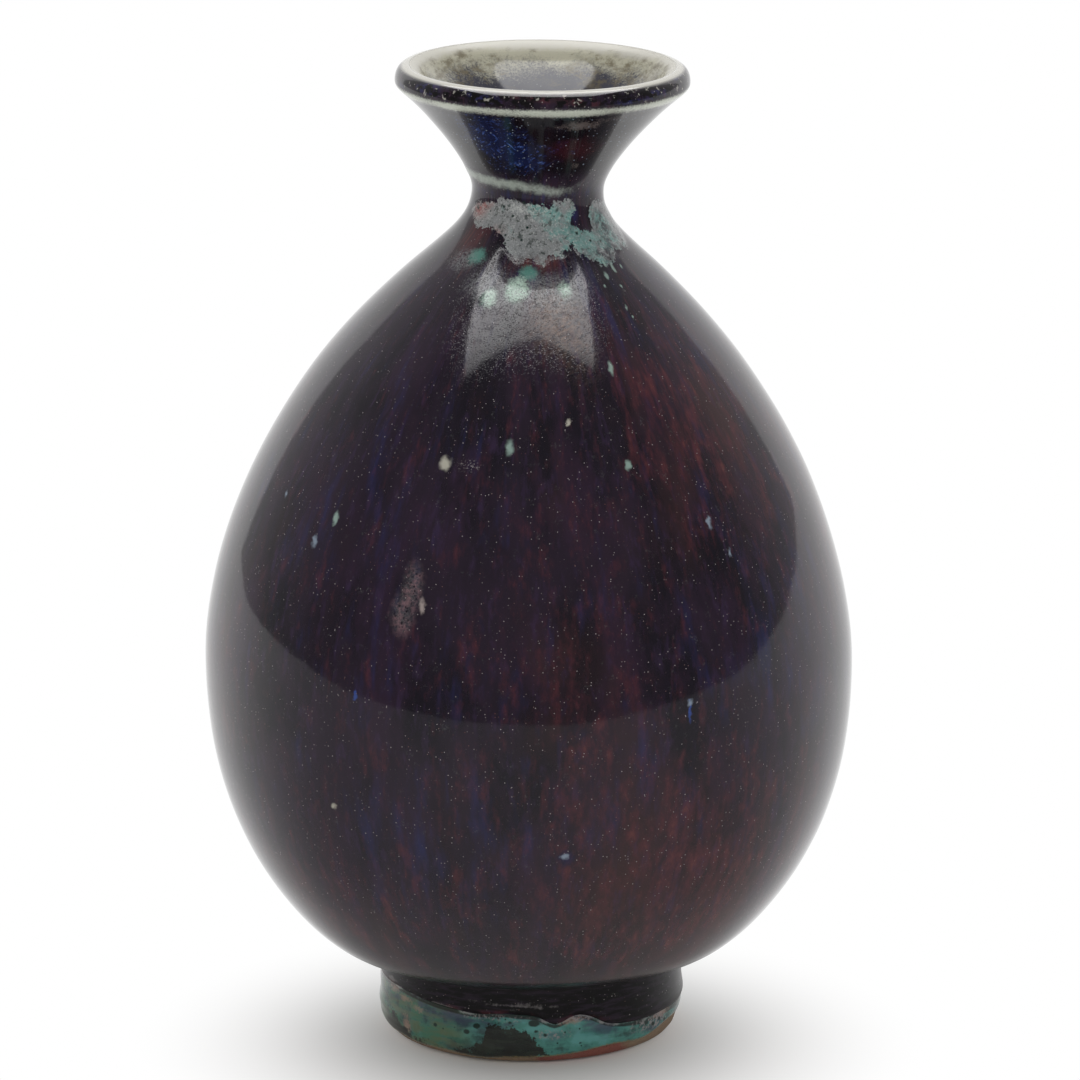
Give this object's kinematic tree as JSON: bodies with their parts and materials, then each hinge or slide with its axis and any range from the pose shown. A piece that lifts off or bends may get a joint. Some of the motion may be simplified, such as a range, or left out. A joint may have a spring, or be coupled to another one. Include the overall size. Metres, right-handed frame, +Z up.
{
  "type": "stoneware vase",
  "caption": "Egg-shaped stoneware bottle vase with a narrow waist, trumpet mouth, upright lip band and low turned foot ring, under a dark streaked glaze with turquoise at the foot.",
  "frame": {"origin": "middle of the foot ring, on the surface the vase stands on", "axes": "+Z up the pot's axis to the mouth; +X the side that the mouth leans towards; -Y faces the viewer"},
  "size_m": [0.0658, 0.0658, 0.1],
  "materials": {
    "stoneware_clay": "bare fired stoneware, matt, tan to red-brown",
    "dark_glaze": "glossy aubergine glaze with fine cobalt and red-brown streaks and a pale blue-green flash on the shoulder",
    "pale_liner_glaze": "glossy celadon, cream at the crest, dark and speckled in the throat",
    "turquoise_glaze": "glossy mottled turquoise with dark spots",
    "brown_base_glaze": "thin satin brown wash"
  },
  "bodies": {
    "root": {"stoneware_pot": "stoneware_clay", "outer_glaze": "dark_glaze", "liner_glaze": "pale_liner_glaze", "foot_glaze_band": "turquoise_glaze", "base_glaze": "brown_base_glaze"}
  },
  "joints": []
}
